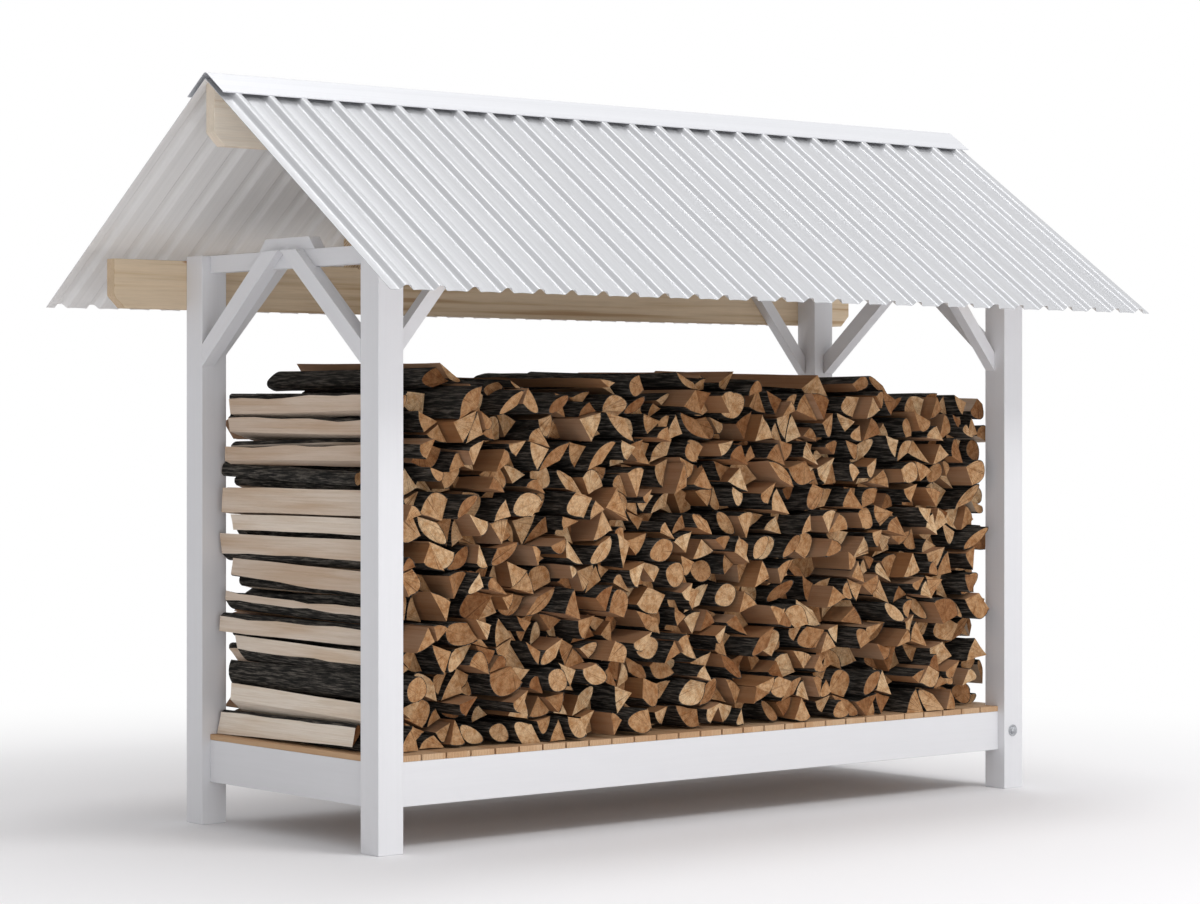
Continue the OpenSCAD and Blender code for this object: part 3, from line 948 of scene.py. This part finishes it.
class Woodpile:
    """The mesh of one row of logs, and what it says about each point."""

    def __init__(self):
        self.points = []
        self.faces = []
        self.kinds = []
        self.tone = []
        self.shift = []
        # Each point's share of painted light on split faces; a low share is painted shade
        self.painted_light_share = []
        self.pith = []

    def add_face(self, face, kind, inward=1):
        self.faces.append(face if inward > 0 else face[::-1])
        self.kinds.append(kind)

    def add_log(self, log, dice):
        """Adds a log's long sides, ring by ring, and then its two ends."""
        start = len(self.points)
        count = len(log.rims)
        for ring in range(LOG_RINGS):
            self.points += [log.place(k, ring / (LOG_RINGS - 1)) for k in range(count)]
        for ring in range(LOG_RINGS - 1):
            near = start + ring * count
            for k in range(count):
                after = (k + 1) % count
                self.add_face((near + k, near + count + k, near + count + after, near + after), log.kinds[k])
        self.add_end(log, 0, start, dice)
        self.add_end(log, 1, start + (LOG_RINGS - 1) * count, dice)
        added = self.points[start:]
        tone = min(1.0, max(0.0, dice.gauss(*TONE_SPREAD)))
        self.tone += [tone] * len(added)
        self.shift += [log.shift] * len(added)
        self.painted_light_share += [log.painted_light_share] * len(added)
        for x, y, z in added:
            self.pith += [x - log.centre.x - log.pith.x, 0.0, z - log.centre.y - log.pith.y]

    def add_end(self, log, number, outer, dice):
        """Closes an end: the cut edge of the bark, then two rings of sawn wood."""
        inward = 1 - 2 * number
        count = len(log.rims)
        mean = sum(rim.length for rim in log.rims) / count
        for scale, at_bark in ((1 - BARK_RIM / mean, True), (0.5, False)):
            inner = len(self.points)
            depth = inward * SAW_WAVE * dice.uniform(*SAW_RANGE)
            self.points += [log.place(k, number, scale, 0.0 if at_bark else depth) for k in range(count)]
            for k in range(count):
                after = (k + 1) % count
                kind = BARK if at_bark and log.kinds[k] == BARK else SAWN
                self.add_face((outer + k, outer + after, inner + after, inner + k), kind, inward)
            outer = inner
        middle = len(self.points)
        self.points.append(log.hub(number, number, inward * SAW_WAVE * dice.uniform(*SAW_RANGE)))
        for k in range(count):
            self.add_face((outer + k, outer + (k + 1) % count, middle), SAWN, inward)

    def build(self, name, finishes):
        """The piece itself, with what its finishes read about each log."""
        pile = new_piece(name, self.points, self.faces, finishes, SHARP_ARRIS)
        mesh = pile.data
        mesh.polygons.foreach_set("material_index", self.kinds)
        # The painted light share goes to the split faces with the sawn ends' tone and the texture shift
        for key, values in (("tone", self.tone), ("shift", self.shift), ("painted_light_share", self.painted_light_share)):
            mesh.attributes.new(key, "FLOAT", "POINT").data.foreach_set("value", values)
        mesh.attributes.new("pith", "FLOAT_VECTOR", "POINT").data.foreach_set("vector", self.pith)
        return pile


def end_of_stack(cell):
    """Whether a log lies at the left or the right end of the stack, or inside it."""
    corners = cell[0]
    if min(corner.x for corner in corners) - stack_left < AT_END:
        return "left"
    if stack_right - max(corner.x for corner in corners) < AT_END:
        return "right"
    return "inside"


log_finishes = [furrowed_bark(), split_face(), sawn_end()]
stack_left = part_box("log_row_01")[0].x
stack_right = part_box("log_row_01")[1].x
log_nodes = [f"log_row_{row:02d}" for row in range(1, ROW_COUNT + 1)] + ["top_logs"]
for row, node in enumerate(log_nodes):
    pile = Woodpile()
    for number, cell in enumerate(log_cells(node)):
        dice = random.Random(1000 * row + number)
        where = end_of_stack(cell)
        # End logs get painted light on their split faces, logs inside the stack get painted shade
        painted_light_share = dice.uniform(*(PAINTED_SHADE_INSIDE if where == "inside" else PAINTED_LIGHT_OUTSIDE))
        bark = choose_bark(cell[0], where, dice)
        loose = LEAN_INSIDE if where == "inside" else LEAN_OUTSIDE
        if node == "top_logs":
            loose = LEAN_TOP
        pile.add_log(Log(cell, bark, dice, painted_light_share, loose), dice)
    logs = pile.build(f"split_{node}", log_finishes)
    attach(logs, "root")
    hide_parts(node)

# ---------------------------------------------------------------------------
# Studio
# A plain pale floor that fades into a white surround, a long lamp overhead, a
# second one in front on the right, and a low one that lifts the shade in front.
# ---------------------------------------------------------------------------

AMBIENT = 0.575
FLOOR_SIZE = 60.0
FLOOR_FADE_CENTRE = (-0.6, -0.4, 0.0)
FLOOR_FADE_FROM = 1.8
FLOOR_FADE_TO = 5.5
FLOOR_COLOUR = srgb(244, 243, 245)


def seen_directly(tree):
    """One where the camera, a reflection or a clear view looks, and zero for light."""
    path = add(tree, "LightPath", {}).outputs
    first = add(tree, "Math", {0: path["Is Camera Ray"], 1: path["Is Glossy Ray"]}, operation="MAXIMUM")
    both = {0: first.outputs["Value"], 1: path["Is Transmission Ray"]}
    return add(tree, "Math", both, operation="MAXIMUM").outputs["Value"]


def floor_finish():
    """Matt pale floor near the store, and plain white further out."""
    finish, tree, shader = new_finish("studio floor")
    place = add(tree, "TexCoord", {}).outputs["Object"]
    aside = add(tree, "VectorMath", {0: place, 1: FLOOR_FADE_CENTRE}, operation="SUBTRACT")
    away = add(tree, "VectorMath", {0: aside.outputs["Vector"]}, operation="LENGTH").outputs["Value"]
    far = add(tree, "MapRange", {
        "Value": away, "From Min": FLOOR_FADE_FROM, "From Max": FLOOR_FADE_TO,
    }, interpolation_type="SMOOTHSTEP").outputs["Result"]
    share = add(tree, "Math", {0: far, 1: seen_directly(tree)}, operation="MULTIPLY").outputs["Value"]
    grit = mottle(tree, place, 60.0)
    set_inputs(tree, shader, {
        "Base Color": FLOOR_COLOUR,
        "Roughness": 0.8,
        "Specular IOR Level": 0.1,
        "Normal": bump(tree, grit, 0.0004, 0.2),
    })
    glow = add(tree, "Emission", {"Color": grey(1.0), "Strength": 1.0})
    blend = add(tree, "MixShader", {0: share, 1: shader.outputs["BSDF"], 2: glow.outputs["Emission"]})
    output = tree.nodes["Material Output"]
    tree.links.new(blend.outputs["Shader"], output.inputs["Surface"])
    return finish


floor_edge = FLOOR_SIZE / 2
floor_points = [(-floor_edge, -floor_edge, 0), (floor_edge, -floor_edge, 0),
                (floor_edge, floor_edge, 0), (-floor_edge, floor_edge, 0)]
floor = new_piece("studio_floor", floor_points, [(0, 1, 2, 3)], [floor_finish()])

surround = bpy.data.worlds.new("white surround")
surround.use_nodes = True
bpy.context.scene.world = surround
sky = surround.node_tree
strength = add(sky, "MapRange", {"Value": seen_directly(sky), "To Min": AMBIENT, "To Max": 1.0})
set_inputs(sky, sky.nodes["Background"], {"Color": grey(1.0), "Strength": strength.outputs["Result"]})


def soft_light(name, place, aim, width, height, power):
    """A flat lamp that shines from its place to its aim."""
    lamp = bpy.data.lights.new(name, "AREA")
    lamp.shape = "RECTANGLE"
    lamp.size = width
    lamp.size_y = height
    lamp.energy = power
    holder = bpy.data.objects.new(name, lamp)
    holder.location = place
    holder.rotation_euler = (Vector(aim) - Vector(place)).to_track_quat("-Z", "Y").to_euler()
    holder.visible_camera = False
    bpy.context.scene.collection.objects.link(holder)


soft_light("overhead strip", (1.5, 1.0, 20.0), (0.0, 0.0, 1.0), 3.0, 14.0, 960)
soft_light("front light", (2.0, -7.8, 8.8), (0.0, -0.5, 1.0), 4.0, 3.0, 370)
soft_light("low fill light", (-1.5, -6.0, 0.5), (0.0, 0.3, 1.3), 6.0, 1.0, 78)

# ---------------------------------------------------------------------------
# Camera
# It stands level in front of the left end, at the height of a person's chest.
# The frame is shifted down a little, so that the posts stay upright in it.
# ---------------------------------------------------------------------------

view = bpy.data.cameras.new("camera")
view.sensor_width = 36.0
view.lens = 95.076
view.shift_y = -0.02805
view.clip_end = 200.0
camera = bpy.data.objects.new("camera", view)
camera.location = (-7.43474, -8.86445, 1.41039)
camera.rotation_euler = (math.radians(90), 0, -0.6938)
bpy.context.scene.collection.objects.link(camera)
bpy.context.scene.camera = camera
bpy.context.scene.view_settings.view_transform = "Standard"
